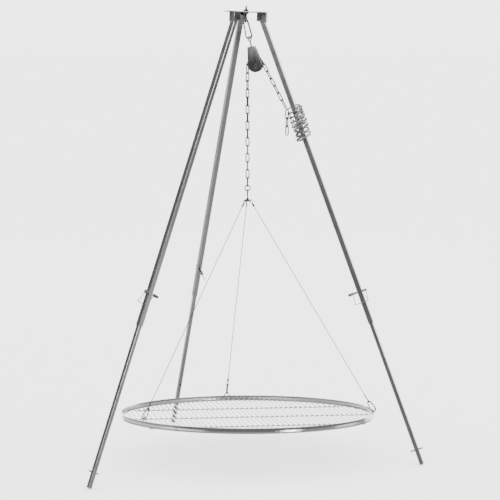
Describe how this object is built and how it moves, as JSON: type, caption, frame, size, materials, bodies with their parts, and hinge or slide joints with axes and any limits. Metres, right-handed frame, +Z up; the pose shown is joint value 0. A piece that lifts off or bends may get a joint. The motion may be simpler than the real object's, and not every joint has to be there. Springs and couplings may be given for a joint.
{
  "type": "campfire tripod grate",
  "caption": "Three-legged campfire tripod with a round cooking grate hung on wire ropes, a chain and a pulley; pinned telescopic legs.",
  "frame": {"origin": "on the ground, straight below the eye bolt", "axes": "+Z up, and the tripod's own axis leans about 2 degrees from it towards +X; +X to the right and +Y to the back as the part is seen from its front, the right leg 11 degrees in front of +X"},
  "size_m": [1.2861, 1.3447, 1.7762],
  "materials": {
    "sheet_steel": "laser-cut and folded stainless sheet, satin",
    "brushed_tube": "stainless square tube, brushed along its length",
    "fitting_steel": "polished stainless bolts, pins, snap hooks and thimbles",
    "pulley_grey": "dark satin pulley cheeks",
    "chain_steel": "welded stainless chain, tumbled",
    "wire_rope": "stranded stainless wire rope",
    "grate_steel": "bright stainless band and bars, electropolished"
  },
  "bodies": {
    "head": {"top_plate": "sheet_steel", "bracket_left": "sheet_steel", "bracket_right": "sheet_steel", "bracket_rear": "sheet_steel", "hinge_bolt_left": "fitting_steel", "hinge_bolt_right": "fitting_steel", "hinge_bolt_rear": "fitting_steel", "hinge_nuts": "fitting_steel", "eye_bolt": "fitting_steel", "eye_nuts": "fitting_steel", "eye_washers": "fitting_steel", "carabiner_body": "fitting_steel", "pulley_eye": "fitting_steel", "pulley_head": "pulley_grey", "pulley_cheek_front": "pulley_grey", "pulley_cheek_back": "pulley_grey", "pulley_axle": "fitting_steel", "chain_on_sheave": "chain_steel", "chain_top_link": "chain_steel", "chain_haul_run": "chain_steel"},
    "leg_left": {"upper_tube_left": "brushed_tube", "lock_pin_left": "fitting_steel"},
    "leg_right": {"upper_tube_right": "brushed_tube", "lock_pin_right": "fitting_steel", "chain_wraps": "chain_steel", "chain_tail": "chain_steel"},
    "leg_rear": {"upper_tube_rear": "brushed_tube", "lock_pin_rear": "fitting_steel"},
    "foot_left": {"lower_tube_left": "brushed_tube", "foot_bar_left": "fitting_steel"},
    "foot_right": {"lower_tube_right": "brushed_tube", "foot_bar_right": "fitting_steel"},
    "foot_rear": {"lower_tube_rear": "brushed_tube", "foot_bar_rear": "fitting_steel"},
    "bow_left": {"lock_bow_left": "fitting_steel"},
    "bow_right": {"lock_bow_right": "fitting_steel"},
    "bow_rear": {"lock_bow_rear": "fitting_steel"},
    "hoist": {"chain_hoist_run": "chain_steel", "hanging_ring": "chain_steel", "swivel_eye": "fitting_steel"},
    "sheave": {"pulley_sheave": "fitting_steel"},
    "carabiner_gate": {"carabiner_gate": "fitting_steel"},
    "grate": {"swivel_hub": "fitting_steel", "rope_left": "wire_rope", "rope_rear": "wire_rope", "rope_right": "wire_rope", "rope_ferrules": "fitting_steel", "rope_thimbles": "fitting_steel", "snap_hooks": "fitting_steel", "rim_eyes": "grate_steel", "grate_rim": "grate_steel", "grate_bars": "grate_steel", "grate_cross_bars": "grate_steel"},
    "snap_gate_left": {"snap_gate_left": "fitting_steel"},
    "snap_gate_rear": {"snap_gate_rear": "fitting_steel"},
    "snap_gate_right": {"snap_gate_right": "fitting_steel"}
  },
  "joints": [
    {"name": "leg_left_fold", "type": "hinge", "parent": "head", "child": "leg_left", "pos_m": [-0.03998, -0.04613, 1.73333], "axis": [-0.7496, 0.6613, 0.0275], "range_deg": [-5, 0]},
    {"name": "leg_right_fold", "type": "hinge", "parent": "head", "child": "leg_right", "pos_m": [0.06091, -0.01216, 1.72963], "axis": [-0.1975, -0.9803, 0.0072], "range_deg": [-2.5, 0], "deforming": ["chain_haul_run"]},
    {"name": "leg_rear_fold", "type": "hinge", "parent": "head", "child": "leg_rear", "pos_m": [-0.01894, 0.05829, 1.73256], "axis": [0.9471, 0.319, -0.0347], "range_deg": [-5, 0]},
    {"name": "foot_left_slide", "type": "slide", "parent": "leg_left", "child": "foot_left", "axis": [-0.2857, -0.2858, -0.9147], "range_m": [0, 0.1]},
    {"name": "foot_right_slide", "type": "slide", "parent": "leg_right", "child": "foot_right", "axis": [0.3394, -0.0753, -0.9376], "range_m": [0, 0.1]},
    {"name": "foot_rear_slide", "type": "slide", "parent": "leg_rear", "child": "foot_rear", "axis": [-0.1553, 0.3612, -0.9195], "range_m": [0, 0.1]},
    {"name": "bow_left_turn", "type": "hinge", "parent": "leg_left", "child": "bow_left", "pos_m": [-0.36199, -0.36828, 0.70247], "axis": [-0.597, -0.6935, 0.4032], "range_deg": [-132, 13]},
    {"name": "bow_right_turn", "type": "hinge", "parent": "leg_right", "child": "bow_right", "pos_m": [0.44344, -0.09704, 0.67294], "axis": [0.9197, -0.1827, 0.3476], "range_deg": [-132, 13]},
    {"name": "bow_rear_turn", "type": "hinge", "parent": "leg_rear", "child": "bow_rear", "pos_m": [-0.19401, 0.46532, 0.69631], "axis": [-0.2807, 0.8763, 0.3916], "range_deg": [-132, 13]},
    {"name": "grate_hoist", "type": "slide", "parent": "head", "child": "hoist", "axis": [0, 0, 1], "range_m": [-0.1, 0.2], "deforming": ["chain_hoist_run"]},
    {"name": "sheave_turn", "type": "hinge", "parent": "head", "child": "sheave", "pos_m": [0.038, -0.00766, 1.5474], "axis": [0.1977, 0.9803, 0], "continuous": true},
    {"name": "grate_spin", "type": "hinge", "parent": "hoist", "child": "grate", "pos_m": [0.00686, -0.00138, 1.0185], "axis": [0, 0, 1], "range_deg": [-180, 180]},
    {"name": "carabiner_gate_open", "type": "hinge", "parent": "head", "child": "carabiner_gate", "pos_m": [-0.00731, 0.00147, 1.7084], "axis": [-0.1977, -0.9803, 0], "range_deg": [0, 15], "stiffness_Nm_per_rad": 0.1, "springref_deg": -20.05},
    {"name": "snap_left_open", "type": "hinge", "parent": "grate", "child": "snap_gate_left", "pos_m": [-0.37019, -0.29466, 0.23981], "axis": [-0.6139, 0.7894, 0], "range_deg": [0, 18], "stiffness_Nm_per_rad": 0.05, "springref_deg": -20.05},
    {"name": "snap_rear_open", "type": "hinge", "parent": "grate", "child": "snap_gate_rear", "pos_m": [-0.07631, 0.47058, 0.19847], "axis": [0.9848, 0.1736, 0], "range_deg": [0, 18], "stiffness_Nm_per_rad": 0.05, "springref_deg": -20.05},
    {"name": "snap_right_open", "type": "hinge", "parent": "grate", "child": "snap_gate_right", "pos_m": [0.47822, -0.08348, 0.22839], "axis": [-0.1715, -0.9852, 0], "range_deg": [0, 18], "stiffness_Nm_per_rad": 0.05, "springref_deg": -20.05}
  ],
  "couplings": [
    {"joint": "sheave_turn", "follows": "grate_hoist", "rad_per_m": 31.481}
  ]
}
